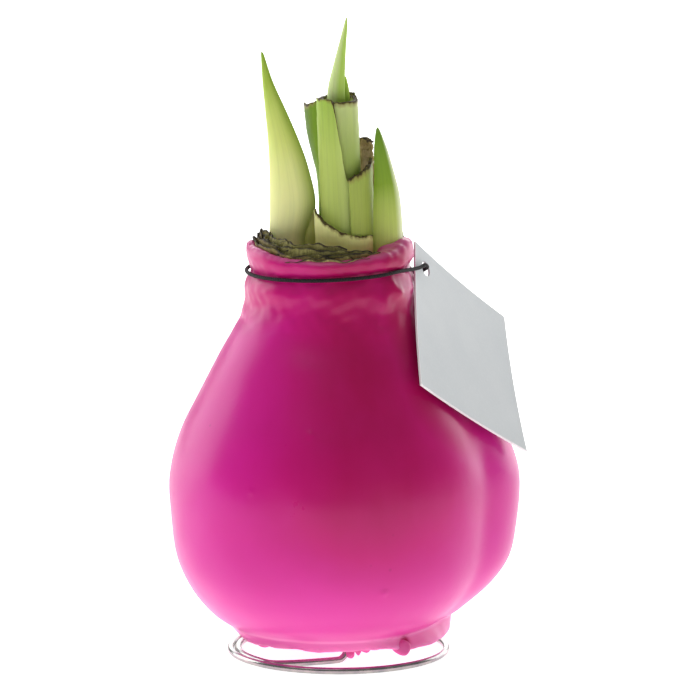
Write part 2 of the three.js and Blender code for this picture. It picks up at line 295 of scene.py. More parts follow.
def wax_material():
    n = Nodes("wax_pink")
    cloud = n.noise(n.scaled(22, 22, 22), detail=4.0, rough=0.55)
    streak = n.noise(n.scaled(70, 70, 14), detail=3.0)
    bloom = n.noise(n.scaled(38, 38, 90), detail=5.0, rough=0.6, distort=0.6)
    # painted shade: the wax darker where less light falls, from the painted_shade field
    painted_shade = n.math("ADD", n.field("painted_shade"), n.remap(cloud, 0.3, 0.7, -0.12, 0.12), clamp=True)
    color = n.ramp(painted_shade, [(0.0, (220, 26, 156)), (0.5, (202, 12, 120)), (1.0, (176, 3, 84))])
    color = n.mix(n.remap(streak, 0.5, 0.8, 0.0, 0.2), color, (214, 36, 140))
    high = n.remap(n.field("height"), 80.0, 98.0)
    haze = n.math("MULTIPLY", n.remap(bloom, 0.5, 0.72), high, clamp=True)
    color = n.mix(n.math("MULTIPLY", haze, 0.25), color, (176, 62, 150))
    # lighter where the wax is thin, and painted light from below and along the crease
    color = n.mix(n.remap(n.field("thin_and_painted_light"), 0.0, 1.0, 0.0, 0.85), color, (248, 150, 204))
    specks = n.cells(n.scaled(1, 1, 1), 95.0)
    fleck = n.math("MULTIPLY", n.remap(specks, 0.03, 0.055, 1.0, 0.0), n.remap(cloud, 0.52, 0.6), clamp=True)
    color = n.mix(n.math("MULTIPLY", fleck, 0.3), color, (116, 12, 72))
    fine = n.noise(n.scaled(420, 420, 420), detail=4.0)
    soft = n.noise(n.scaled(60, 60, 34), detail=2.0)
    n.set(
        Base_Color=color,
        Roughness=n.remap(n.math("ADD", n.math("MULTIPLY", cloud, 0.7), n.math("MULTIPLY", fine, 0.3)),
                          0.3, 0.7, 0.26, 0.38),
        Subsurface_Weight=0.2,
        Subsurface_Radius=(1.0, 0.2, 0.6),
        Subsurface_Scale=0.0025,
        IOR=1.38,
        Normal=n.bump(fine, 0.05, 0.35, n.bump(soft, 0.4, 0.3)),
    )
    return n.material


def leaf_material(name, stops, across=None, brown=1.0, veins=9.0):
    """stops colours the leaf from foot to tip. across is (colour, from, to) for one edge: painted shade where the
    colour is darker, a painted highlight where it is lighter, as light falls on that side. brown is how far the
    dried edge runs down from a cut, in mm."""
    n = Nodes(name)
    side, run, rim = n.field("across"), n.field("along"), n.field("rim")
    lines = n.combine(n.math("MULTIPLY", side, veins), n.math("MULTIPLY", run, 1.6))
    vein = n.noise(lines, detail=4.0, rough=0.6)
    blotch = n.noise(n.scaled(90, 90, 30), detail=4.0)
    color = n.ramp(n.math("ADD", run, n.remap(blotch, 0.3, 0.7, -0.05, 0.05)), stops)
    # painted light and shade: one side of the leaf darker or lighter, as light falls on it
    if across:
        side_shading_color, low, high = across
        color = n.mix(n.remap(side, low, high, 0.0, 0.85), color, side_shading_color)
    color = n.mix(n.remap(vein, 0.35, 0.72, 0.0, 0.3), color, (232, 238, 188), "SOFT_LIGHT")
    color = n.mix(n.remap(vein, 0.3, 0.5, 0.1, 0.0), color, (112, 138, 38))
    wander = n.noise(n.scaled(700, 700, 300), detail=4.0)
    dried = n.math("ADD", rim, n.remap(wander, 0.25, 0.75, -0.6, 0.6))
    color = n.mix(n.remap(dried, brown * 0.5, brown * 1.6, 0.75, 0.0), color, (150, 138, 74))
    color = n.mix(n.remap(dried, brown * 0.1, brown * 0.6, 0.95, 0.0), color, (66, 50, 24))
    n.set(
        Base_Color=color,
        Roughness=n.remap(vein, 0.3, 0.7, 0.46, 0.6),
        IOR=1.34,
        Subsurface_Weight=0.18,
        Subsurface_Radius=(0.7, 1.0, 0.25),
        Subsurface_Scale=0.002,
        Normal=n.bump(wander, 0.06, 0.4, n.bump(vein, 0.07, 0.7)),
    )
    return n.material


def scale_material(name, light, dark, green=0.6):
    """green is how strongly the olive blotches show."""
    n = Nodes(name)
    side, run, rim = n.field("across"), n.field("along"), n.field("rim")
    lines = n.combine(n.math("MULTIPLY", side, 22.0), n.math("MULTIPLY", run, 2.2))
    grain = n.noise(lines, detail=6.0, rough=0.65)
    blotch = n.noise(n.scaled(230, 230, 230), detail=5.0, rough=0.6)
    middle = tuple((a + b) // 2 for a, b in zip(light, dark))
    color = n.ramp(grain, [(0.32, dark), (0.5, middle), (0.68, light)])
    color = n.mix(n.remap(blotch, 0.48, 0.66, 0.0, green), color, (140, 136, 66))
    charred = n.math("ADD", rim, n.remap(blotch, 0.3, 0.7, -0.4, 0.4))
    color = n.mix(n.remap(charred, 0.05, 0.55, 0.95, 0.0), color, (34, 24, 14))
    n.set(
        Base_Color=color,
        Roughness=n.remap(grain, 0.3, 0.7, 0.55, 0.9),
        Normal=n.bump(grain, 0.25, 0.9, n.bump(blotch, 0.3, 0.6)),
    )
    return n.material


def steel_material():
    n = Nodes("wire_steel")
    lines = n.combine(n.math("MULTIPLY", n.field("round"), 6.0), n.math("MULTIPLY", n.field("along"), 30.0))
    draw = n.noise(lines, detail=4.0)
    mottle = n.noise(n.scaled(300, 300, 300), detail=3.0)
    n.set(
        Base_Color=n.ramp(mottle, [(0.3, (150, 150, 152)), (0.7, (186, 184, 178))]),
        Metallic=1.0,
        Roughness=n.remap(mottle, 0.3, 0.7, 0.14, 0.26),
        Normal=n.bump(draw, 0.03, 0.4),
    )
    return n.material


def elastic_material():
    n = Nodes("elastic_black")
    around = n.math("MULTIPLY", n.field("round"), 3.0)
    run = n.math("MULTIPLY", n.field("along"), 1150.0)
    lay, counter = (n.math("SINE", n.math(way, around, run)) for way in ("ADD", "SUBTRACT"))
    braid = n.math("MAXIMUM", lay, counter)
    fuzz = n.noise(n.scaled(900, 900, 900), detail=3.0)
    n.set(
        Base_Color=n.mix(n.remap(fuzz, 0.4, 0.7, 0.0, 0.5), (8, 4, 7), (26, 10, 18)),
        Roughness=n.remap(braid, -0.5, 1.0, 0.9, 0.7),
        Normal=n.bump(fuzz, 0.05, 0.4, n.bump(braid, 0.12, 0.9)),
    )
    return n.material


def card_material():
    n = Nodes("card_grey")
    fibre = n.noise(n.scaled(1500, 1500, 1500), detail=4.0)
    cloud = n.noise(n.scaled(60, 60, 60), detail=3.0)
    color = n.ramp(cloud, [(0.3, (210, 215, 217)), (0.7, (218, 222, 223))])
    color = n.mix(n.remap(fibre, 0.45, 0.75, 0.0, 0.25), color, (230, 233, 234))
    color = n.mix(n.remap(n.field("rim"), 0.05, 0.35, 1.0, 0.0), color, (250, 250, 250))
    n.set(
        Base_Color=color,
        Roughness=n.remap(fibre, 0.3, 0.7, 0.5, 0.66),
        Normal=n.bump(fibre, 0.02, 0.5),
    )
    return n.material


def floor_material():
    n = Nodes("pale_floor")
    n.set(Base_Color=(0.9, 0.9, 0.9, 1), Roughness=0.7, Emission_Color=(1, 1, 1, 1), Emission_Strength=0.85)
    return n.material


# ---------------------------------------------------------------- the wax skin

BODY = [  # radius, height
    (28.3, 8.3), (31.6, 11.2), (36.9, 17.8), (40.3, 26.5), (41.9, 41), (41.2, 50.5), (38.5, 59.5), (33.9, 69),
    (29.2, 78.3), (25.3, 85.2), (22.7, 91.5), (21.9, 96.8), (20.9, 101.2), (21.7, 104.6),
]
LOBE = dict(azimuth=18, rise=0.218, radius=0.6)


def swell(azimuth, z):
    """How far the daughter bulb pushes the surface out, as a share of the radius there."""
    share = LOBE["rise"] * smoothstep(z, -12, 26) * (1 - smoothstep(z, 45, 95))
    offset = 1 + share - LOBE["radius"]
    turn = np.radians(azimuth - LOBE["azimuth"])
    across = offset * np.sin(turn)
    inside = (np.cos(turn) > 0) & (np.abs(across) < LOBE["radius"])
    reach = offset * np.cos(turn) + np.sqrt(np.maximum(LOBE["radius"] ** 2 - across ** 2, 0)) - 1
    reach = np.where(inside, reach, -1)
    # a soft maximum, so that the crease between the bulbs is a valley and not a knife cut
    soft = 0.026
    return soft * np.logaddexp(0, reach / soft)


def skirt(azimuth):
    """The wax's lowest edge, as a radius and a height, then the crease's height over it and the neck rim's."""
    keys = [0, 15, 30, 50, 75, 110, 150, 190, 215, 240, 270, 290, 305, 320, 335, 350, 360]
    radius = [29.6, 28.8, 27.0, 25.0, 24.0, 23.8, 24.0, 24.0, 24.6, 24.2, 24.0, 24.4, 26.2, 28.2, 29.4, 29.8,
              29.6]
    height = [4.7, 5.6, 6.0, 5.6, 5.0, 4.6, 4.8, 4.5, 4.3, 4.4, 4.3, 4.4, 4.2, 3.9, 3.8, 4.0, 4.7]
    crease = [9.4, 9.8, 9.0, 8.2, 7.7, 7.5, 7.5, 7.5, 7.4, 7.3, 7.3, 7.3, 7.4, 7.7, 8.2, 8.9, 9.4]
    rim_keys = [0, 40, 90, 140, 180, 215, 240, 270, 300, 325, 345, 360]
    rim = [109.2, 108.0, 107.2, 107.6, 108.3, 107.6, 106.6, 106.3, 106.8, 108.2, 109.4, 109.2]
    return (*(np.interp(azimuth, keys, values) for values in (radius, height, crease)),
            np.interp(azimuth, rim_keys, rim))


def wax_body():
    """The wax as one closed surface: under the base, up the outside, over the rim and down into the neck."""
    around, steps = 420, 230
    azimuth = np.linspace(0, 360, around, endpoint=False)
    circle = np.stack([np.cos(np.radians(azimuth)), np.sin(np.radians(azimuth))], axis=1)
    wavy = waves(circle * 24, 11, 5)
    fine = waves(circle * 24, 3.6, 6)
    out, low, crease, rim = skirt(azimuth)
    out = out + 0.3 * wavy + 0.08 * fine
    low = low + 0.3 * wavy + 0.12 * fine
    crease = crease + 0.12 * wavy
    rim = rim + 0.3 * waves(circle * 21, 9, 7) + 0.12 * waves(circle * 21, 2.6, 8)
    pool = bump(turn_from(azimuth, 342), 0, 34)
    rows = []
    for i in range(around):
        r, z, c, top, p = out[i], low[i], crease[i], rim[i], pool[i]
        edge = float(np.interp(c, [7.2, 8.3, 9.4, 11.2], [26.2, 28.2, 29.6, 31.6]))
        rows.append(spline([
            (0.01, 5.4), (10, 5.3), (r - 6.0, 5.6), (r - 2.2, z + 0.5), (r - 0.9, z + 0.02),
            (r - 0.2, z + 0.12), (r + 0.1, z + 0.6), (0.6 * r + 0.4 * edge - 0.1, 0.55 * z + 0.45 * c - 0.1),
            (edge - 0.55, c - 0.35), (edge - 0.05, c + 0.1), *[point for point in BODY if point[1] > c + 1.2],
            (21.6 - 0.4 * p, top - 1.1), (20.6 - 1.2 * p, top - 0.1), (19.6 - 3.4 * p, top - 0.35),
            (18.9 - 5.4 * p, top - 1.6), (18.7 - 5.6 * p, 103.6), (18.5 - 5.6 * p, 100.2), (8, 99.8),
        ], steps))
    rows = np.array(rows)
    r, z = rows[..., 0], rows[..., 1]
    az = np.broadcast_to(azimuth[:, None], r.shape)
    step = np.broadcast_to(np.arange(steps + 1), r.shape)
    outside = (step > 12) & (z > 5) & (r > 19.0)
    at = np.stack([circle[:, None, 0] * r, circle[:, None, 1] * r, z], axis=-1)
    body = smoothstep(z, 9, 18) * (1 - smoothstep(z, 104, 106)) * (r > 19.5)
    lumps = 0.2 * waves(at * (1, 1, 0.45), 34, 11) + 0.07 * waves(at * (1, 1, 0.7), 11, 12)
    neck = smoothstep(z, 84, 92)
    lumps += neck * (0.2 * waves(at, 7, 13) + 0.09 * waves(at, 3.4, 14))
    groove = 101.5 + 0.9 * np.cos(np.radians(az))
    lumps -= 0.45 * bump(z, groove, 1.3) * body
    lumps += 0.45 * bump(z, 97.2, 2.0) * (0.6 + 0.5 * waves(at * (1, 1, 0), 14, 15))
    lumps -= 1.1 * bump(z, 92.6, 2.6) * bump(turn_from(az, 212), 0, 24)
    lumps -= 0.8 * bump(z, 88.0, 1.6) * bump(turn_from(az, 196), 0, 20)
    for turn, height, wide, high in ((318, 99.4, 1.3, 0.8), (323, 97.4, 1.7, 0.7), (309, 95.0, 2.0, 0.5),
                                     (291, 22.6, 0.75, 0.55), (262, 64, 0.7, 0.3), (241, 49, 0.6, 0.25)):
        arc = turn_from(az, turn) * np.pi / 180 * r
        lumps += high * bump(arc, 0, wide) * bump(z, height, wide)
    lumps = lumps * body
    grown = 1 + swell(az, z) * (z < 100)
    radius = r * grown + np.where(outside, lumps, 0)
    verts = np.stack([circle[:, None, 0] * radius, circle[:, None, 1] * radius, z], axis=-1)
    # a painted highlight along the crease above the skirt
    crease_highlight = bump(z, crease[:, None] + 0.15, 0.4) * (step > 20)
    flap = bump(turn_from(az, 338), 0, 46) * (z < crease[:, None])
    # lighter where the wax is thin, at the rim and on the flap, and painted light: a painted highlight along the
    # crease, the foot and the skirt under the crease painted lighter as if lit from below, the underside and the
    # neck's inside a little lighter
    thin_and_painted_light = np.where(outside, 0, 0.15) + 0.35 * bump(z, rim[:, None] - 0.3, 0.7) * (z > 104) + 0.6 * crease_highlight
    thin_and_painted_light = thin_and_painted_light + 0.22 * (1 - smoothstep(z, 8, 36)) * (step > 20) + 0.6 * flap
    thin_and_painted_light = thin_and_painted_light + 0.3 * (z < crease[:, None]) * (step > 20)
    # painted shade on the wax: darker in front and behind where less light falls, at the neck, in the tag's
    # shadow and in a small recess at the foot
    front = bump(turn_from(az, 287), 0, 42) * smoothstep(z, 14, 52)
    throat = smoothstep(z, 82, 96) * 0.5
    behind = bump(turn_from(az, 96), 0, 62) * smoothstep(z, 8, 40)
    # painted shadow of the tag on the wax beside it
    tag_shadow = bump(turn_from(az, 322), 0, 34) * smoothstep(z, 42, 72)
    # painted shade: a dark spot in a recess at the foot, also taken out of the lighter wax
    recess_shade = 1.3 * bump(turn_from(az, 317) * np.pi / 180 * 28, 0, 1.5) * bump(z, 6.2, 1.3)
    painted_shade = np.clip(np.max([front, throat, tag_shadow, behind], axis=0), 0, 1)
    fields = {"height": z, "thin_and_painted_light": np.clip(thin_and_painted_light - recess_shade, 0, 1), "painted_shade": np.clip(painted_shade + recess_shade, 0, 1)}
    count = around * (steps + 1)
    faces = (rings_to_faces(around + 1, steps + 1, wrap=False) % count)[:, ::-1].tolist()
    bottom, top = list(range(0, count, steps + 1)), list(range(steps, count, steps + 1))
    faces += [bottom[::-1], top]
    return verts.reshape(-1, 3), faces, fields


def blob(x, y, z, rx, ry, rz, seed, rings=14, sides=20, drop=0.0):
    """A lump of set wax. drop draws its lower half down to a point."""
    lat = np.linspace(0.001, math.pi - 0.001, rings)
    lon = np.linspace(0, TAU, sides, endpoint=False)
    unit = np.stack([np.sin(lat)[:, None] * np.cos(lon), np.sin(lat)[:, None] * np.sin(lon),
                     np.cos(lat)[:, None] * np.ones(sides)], axis=-1)
    unit = unit * (1 + 0.09 * waves(unit, 1.4, seed))[..., None]
    squeeze = 1 - drop * smoothstep(-unit[..., 2], 0.0, 1.2)
    verts = unit * (rx, ry, rz)
    verts[..., :2] *= squeeze[..., None]
    verts = verts + (x, y, z)
    faces = rings_to_faces(rings, sides)[:, ::-1].tolist()
    faces += [list(range(sides)), [(rings - 1) * sides + j for j in range(sides)][::-1]]
    # drips get a fixed share of thin wax and painted light, and of painted shade
    fields = {"height": verts[..., 2], "thin_and_painted_light": np.full((rings, sides), 0.5), "painted_shade": np.full((rings, sides), 0.2)}
    return verts.reshape(-1, 3), faces, fields


DRIPS = [  # x, y, z, radii, how pointed
    (-20.4, -8.0, 4.9, 2.0, 1.7, 1.5, 0.3), (-21.6, -5.6, 5.3, 1.6, 1.4, 1.6, 0.2),
    (-17.0, -12.2, 4.4, 2.3, 1.6, 1.5, 0.2), (-19.2, -10.3, 4.9, 1.7, 1.4, 1.2, 0.1),
    (18.6, -18.6, 4.4, 2.5, 1.7, 2.0, 0.0), (5.3, -17.4, 2.6, 1.2, 1.2, 1.4, 0.0),
    (5.9, -17.6, 4.4, 1.6, 1.4, 1.5, 0.0), (7.3, -18.4, 3.6, 0.9, 0.8, 1.3, 0.3),
    (9.2, -19.4, 4.4, 1.7, 1.2, 1.2, 0.2), (-15.2, 15.4, 4.8, 2.7, 2.3, 2.1, 0.2),
    (12.6, 20.4, 5.0, 2.5, 2.3, 2.2, 0.2), (-3.0, 21.6, 5.0, 2.4, 1.5, 1.5, 0.1),
]


def build_wax():
    material = wax_material()
    verts, faces, fields = wax_body()
    make("wax_skin", verts, faces, material, ["wax_coat"], fields)
    verts, faces, fields = join([blob(*d[:6], seed=40 + i, drop=d[6]) for i, d in enumerate(DRIPS)])
    make("wax_drips", verts, faces, material, [], fields)


def build_bulb():
    """The bulb's cut top shows inside the rim."""
    n = Nodes("bulb_flesh")
    rings = n.noise(n.scaled(240, 240, 40), detail=4.0)
    pores = n.noise(n.scaled(700, 700, 700), detail=4.0)
    n.set(
        Base_Color=n.ramp(rings, [(0.3, (120, 104, 62)), (0.6, (176, 164, 112))]),
        Roughness=n.remap(pores, 0.3, 0.7, 0.6, 0.85),
        Normal=n.bump(pores, 0.2, 0.6),
    )
    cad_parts["bulb"].data.materials.clear()
    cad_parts["bulb"].data.materials.append(n.material)


# ---------------------------------------------------------------- leaves

def blade(rows, face, cup, cut=None, ring=44, along=130, fat=0.75, fold=0.0, edge=0.6, crumple=0.0, seed=1):
    """A leaf or a strip of one. Each row is x, y, z, width, thickness and twist of a level section that bulges
    towards the azimuth face + twist and spans cup degrees to each side. fat squares its edges off. fold creases
    its middle."""
    rows = [(*row, 0.0)[:6] for row in rows]
    turn = np.linspace(0, TAU, ring, endpoint=False)
    across = np.cos(turn)
    across = np.sign(across) * np.abs(across) ** 0.8
    skin = 0.5 * np.sign(np.sin(turn)) * np.abs(np.sin(turn)) ** fat
    high = cut(across) if cut else np.ones(ring)
    share = np.linspace(0, 1, along)[:, None]
    t = share * high
    r = rows_at(rows, t)
    facing, half = np.radians(face + r[..., 5]), math.radians(cup)
    radius = r[..., 3] / 2 / half
    angle = facing + across * half
    length = np.linalg.norm(np.diff(np.asarray(rows, float)[:, :3], axis=0), axis=1).sum()
    rim = (high - t) * length if cut else np.full(t.shape, 99.0)
    at = np.stack([across * r[..., 3] / 2, t * length, skin * 4 + 0 * t], axis=-1)
    rough = crumple * (waves(at, 3.2, seed) + 0.6 * waves(at, 1.3, seed + 1)) * (0.25 + np.exp(-rim / 2.5))
    reach = radius - skin * r[..., 4] * (1 - edge * across ** 2) - fold * r[..., 3] * np.abs(across) + rough
    verts = np.stack([
        r[..., 0] + reach * np.cos(angle) - radius * np.cos(facing),
        r[..., 1] + reach * np.sin(angle) - radius * np.sin(facing),
        r[..., 2],
    ], axis=-1)
    faces = rings_to_faces(along, ring).tolist()
    last = (along - 1) * ring
    half_ring = ring // 2
    for first, order in ((0, 1), (last, -1)):
        for j in range(half_ring):
            a, b = first + j, first + j + 1
            c, d = first + (ring - j - 1) % ring, first + (ring - j) % ring
            faces.append(list(dict.fromkeys([a, d, c, b][::order])))
    faces = [f for f in faces if len(f) > 2]
    fields = {"across": np.broadcast_to(across, t.shape), "along": t, "rim": np.maximum(rim, 0)}
    return verts.reshape(-1, 3), faces, fields


STEM_FOOT = np.array([4.2, -0.9, 99.0])
STEM_HEAD = np.array([2.2, 0.0, 145.0])


def sheath(radius, thick, start, end, top, cut, flare=0.0, **more):
    """A strip that wraps part of the way round the stem's axis. flare spreads its top out."""
    face, cup = (start + end) / 2, (end - start) / 2
    rows = []
    for z in np.linspace(BULB_TOP, top, 5):
        share = (z - STEM_FOOT[2]) / (STEM_HEAD[2] - STEM_FOOT[2])
        axis = STEM_FOOT + (STEM_HEAD - STEM_FOOT) * share
        r = radius + flare * ((z - BULB_TOP) / (top - BULB_TOP)) ** 2
        rows.append((axis[0] + r * math.cos(math.radians(face)), axis[1] + r * math.sin(math.radians(face)), z,
                     2 * r * math.radians(cup), thick))
    return blade(rows, face, cup, cut=cut, fat=0.35, edge=0.25, **more)


def torn(cut, seed, count, depth):
    """A cut line with ragged tears in it."""
    return lambda x: cut(x) + ragged(x, seed, count, -depth, depth)


def leaf(name, shape, material):
    verts, faces, fields = shape
    make(name, verts, faces, material, [name], fields)


def build_leaves():
    young = [(0.0, (255, 250, 190)), (0.3, (246, 246, 170)), (0.55, (212, 222, 124)), (0.76, (168, 192, 76)),
             (0.95, (128, 160, 48)), (1.0, (150, 152, 104))]
    # the darker green edge is painted shade on the side that curves away from the light
    leaf("left_leaf", blade([
        (-10.8, 0.4, BULB_TOP, 10.0, 5.2), (-10.7, 0.4, 109.5, 10.6, 5.0), (-9.8, 0.4, 118, 12.3, 4.6),
        (-10.7, 0.3, 127, 10.6, 3.9), (-12.0, 0.2, 134, 8.5, 3.2), (-14.1, 0.1, 142.4, 5.6, 2.4),
        (-16.1, 0, 150, 2.8, 1.6), (-17.3, 0, 156.4, 1.0, 0.8), (-17.6, 0, 157.8, 0.3, 0.3),
    ], 262, 25, along=200, fat=0.7),
        leaf_material("left_leaf_green", young, ((132, 158, 40), 0.25, 1.05), veins=7.0))
    leaf("tucked_leaf", blade([
        (-6.0, -4.4, BULB_TOP, 4.4, 1.2), (-5.2, -4.2, 109.5, 4.2, 1.1), (-4.4, -3.8, 113.4, 3.2, 0.8),
        (-3.8, -3.5, 117.2, 0.8, 0.4),
    ], 225, 25, along=50),
        leaf_material("tucked_leaf_green", [(0, (170, 172, 90)), (0.7, (140, 140, 66)), (1, (86, 72, 36))]))
    grass = [(0.0, (214, 222, 138)), (0.25, (186, 202, 102)), (0.45, (132, 162, 48)), (0.8, (104, 142, 34)),
             (1.0, (136, 152, 96))]
    leaf("right_leaf", blade([
        (15.3, -5.0, BULB_TOP, 8.6, 3.0), (15.3, -5.0, 110, 8.5, 2.9), (15.0, -5.0, 119.6, 7.6, 2.6),
        (14.4, -5.0, 125.6, 6.0, 2.3), (13.3, -5.1, 132.6, 3.9, 1.7), (12.5, -5.2, 137.6, 1.4, 0.9),
        (12.3, -5.2, 138.8, 0.3, 0.3),
    ], 285, 35, along=160, fat=0.7),
        leaf_material("right_leaf_green", grass, ((240, 246, 206), 0.35, 0.75)))
    leaf("right_leaf_inner", blade([
        (16.2, -1.9, BULB_TOP, 6.4, 1.2), (16.2, -1.9, 109.5, 6.4, 1.2), (15.8, -2.0, 119.5, 5.2, 1.1),
        (14.9, -2.2, 126.5, 3.0, 0.9), (14.2, -2.4, 131.5, 0.4, 0.4),
    ], 290, 30),
        leaf_material("right_leaf_inner_green", [(0, (230, 236, 196)), (1, (214, 224, 164))]))
    tip = [(0.0, (200, 216, 150)), (0.7, (204, 220, 150)), (0.85, (206, 224, 150)), (1.0, (190, 206, 130))]
    leaf("tip_leaf", blade([
        (4.0, -1.0, BULB_TOP, 4.6, 1.4), (2.5, -0.8, 128, 5.6, 1.4), (1.2, -0.9, 142, 6.4, 1.4),
        (1.2, -0.7, 148, 6.0, 1.4), (2.1, -0.3, 154, 4.2, 1.3), (3.2, 0, 160.2, 2.4, 1.0),
        (4.0, 0, 164.5, 1.3, 0.7), (4.3, 0, 166.7, 0.3, 0.3),
    ], 250, 40, along=200, fold=0.12),
        leaf_material("tip_leaf_green", tip, ((166, 196, 78), 0.05, 0.4)))
    leaf("tip_leaf_inner", blade([
        (5.4, 0.6, BULB_TOP, 2.0, 0.8), (4.7, 0.9, 128, 2.2, 0.8), (4.1, 1.0, 145.5, 2.2, 0.8),
        (4.1, 0.9, 151.2, 0.3, 0.3),
    ], 250, 30),
        leaf_material("tip_leaf_inner_green", [(0, (170, 190, 90)), (1, (150, 176, 70))]))

    stem_green = [(0.0, (130, 150, 62)), (0.62, (158, 178, 88)), (0.85, (186, 202, 124)), (1.0, (196, 208, 140))]
    cut_green = [(0.0, (196, 208, 122)), (0.3, (184, 200, 104)), (0.7, (186, 206, 104)), (1.0, (160, 190, 78))]
    short_green = [(0.0, (196, 206, 118)), (0.4, (176, 190, 92)), (1.0, (160, 176, 82))]
    pale = [(0.0, (206, 200, 116)), (0.5, (236, 234, 150)), (1.0, (240, 242, 166))]
    dark_green = [(0.0, (104, 124, 34)), (0.6, (84, 112, 14)), (1.0, (92, 124, 18))]
    leaf("inner_sheath", sheath(4.6, 1.0, 95, 437, 146.5, torn(lambda x: 0.972 + 0.02 * x * x, 3, 60, 0.006),
                                ring=220, along=110, crumple=0.09, seed=21),
         leaf_material("inner_sheath_green", stem_green))
    # the paler edge is a painted highlight along its fold
    leaf("front_sheath", sheath(5.85, 0.9, 197, 306, 146,
                                torn(lambda x: np.interp(x, [-1, 0.0, 0.12, 0.55, 0.62, 1],
                                                         [1, 1, 0.97, 0.56, 0.55, 0.58]), 4, 40, 0.006),
                                ring=120, along=120, crumple=0.11, seed=22),
         leaf_material("front_sheath_green", cut_green, ((206, 222, 144), 0.1, 0.9), brown=0.6))
    leaf("back_sheath", sheath(5.85, 0.9, 34, 96, 148, torn(lambda x: 0.975 - 0.05 * x * x, 5, 24, 0.012),
                               ring=80, along=110, crumple=0.08, seed=23),
         leaf_material("back_sheath_green", [(0.0, (150, 166, 80)), (1.0, (150, 160, 92))], brown=1.8))
    # the darker green side is painted shade on one side of its fold
    leaf("lower_sheath", sheath(7.5, 1.2, 284, 368, 131, torn(lambda x: 0.9 + 0.07 * x, 6, 40, 0.01),
                                ring=90, along=90, crumple=0.12, seed=24, flare=0.2),
         leaf_material("lower_sheath_green", short_green, ((104, 124, 44), 0.35, 1.0), brown=1.1, veins=12.0))
    leaf("base_scale", sheath(9.0, 1.2, 216, 323, 117.5,
                              torn(lambda x: 0.69 - 0.18 * x + 0.13 * x * x, 7, 46, 0.012),
                              ring=110, along=60, crumple=0.1, seed=25, flare=0.2),
         leaf_material("base_scale_pale", pale, brown=0.6, veins=12.0))
    leaf("left_cut_leaf", blade([
        (-1.5, 4.1, BULB_TOP, 4.8, 1.0), (-2.1, 4.1, 113, 4.8, 1.0, 4), (-2.8, 3.9, 124, 5.2, 1.0, 20),
        (-4.1, 3.4, 130, 7.6, 1.0, 38), (-5.3, 3.0, 136.5, 8.4, 1.0, 50), (-5.9, 2.6, 146, 8.4, 0.9, 61),
    ], 150, 28, cut=torn(lambda x: 0.952 + 0.015 * x + 0.02 * x * x, 8, 26, 0.006),
        ring=80, along=120, fat=0.35, fold=0.03, crumple=0.09, seed=26),
        leaf_material("left_cut_leaf_green", dark_green, ((128, 160, 40), 0.1, 0.8), brown=0.9))
    leaf("dry_stub", blade([
        (10.6, 4.8, BULB_TOP, 7.0, 1.3), (9.9, 5.1, 125, 7.0, 1.3), (9.3, 5.3, 134.6, 6.4, 1.5),
    ], 40, 30, cut=torn(lambda x: 1 - 0.05 * np.abs(x - 0.2), 9, 30, 0.03),
        ring=90, along=120, fat=0.4, crumple=0.4, seed=27),
        scale_material("dry_stub_brown", (222, 196, 146), (132, 102, 62), 0.3))


def flap(start, end, foot_r, top_r, foot_z, top_z, seed):
    """One torn dry scale: a crinkled strip round the bulb's axis, from azimuth start to end."""
    across, up = 90, 22
    tears, tear, thick, crumple = 16, 0.4, 0.35, 0.28
    x = np.linspace(-1, 1, across)
    s = np.linspace(0, 1, up)[:, None]
    azimuth = np.radians((start + end) / 2 + x * (end - start) / 2)
    top = top_z + ragged(x, seed, tears, -tear, tear) - 1.2 * np.abs(x) ** 6
    z = foot_z + (top - foot_z) * s
    r = foot_r + (top_r - foot_r) * s ** 1.4 + 0 * x
    at = np.stack([np.broadcast_to(azimuth * 18, z.shape), z, 0 * z], axis=-1)
    r = r + crumple * (waves(at, 5.0, seed + 1) + 0.5 * waves(at, 1.8, seed + 2)) * (0.3 + 0.7 * s)
    z = z + 0.25 * waves(at, 3.0, seed + 3) * s
    skins = []
    for side in (0.5, -0.5):
        rr = r + side * thick
        skins.append(np.stack([rr * np.cos(azimuth), rr * np.sin(azimuth), z], axis=-1).reshape(-1, 3))
    verts = np.vstack(skins)
    outer = rings_to_faces(up, across, wrap=False)
    inner = rings_to_faces(up, across, first=up * across, wrap=False)[:, ::-1]
    border = (list(range(across)) + [i * across + across - 1 for i in range(1, up)]
              + [(up - 1) * across + j for j in range(across - 2, -1, -1)]
              + [i * across for i in range(up - 2, 0, -1)])
    shift = up * across
    strip = [[a, a + shift, b + shift, b] for a, b in zip(border, border[1:] + border[:1])]
    faces = outer.tolist() + inner.tolist() + strip
    rim = np.minimum((1 - s) * (top - foot_z), 0.5 + (1 - np.abs(x)) * 8 + 0 * s)
    fields = {"across": x + 0 * s, "along": s + 0 * x, "rim": rim}
    return verts, faces, {key: np.tile(value.ravel(), 2) for key, value in fields.items()}


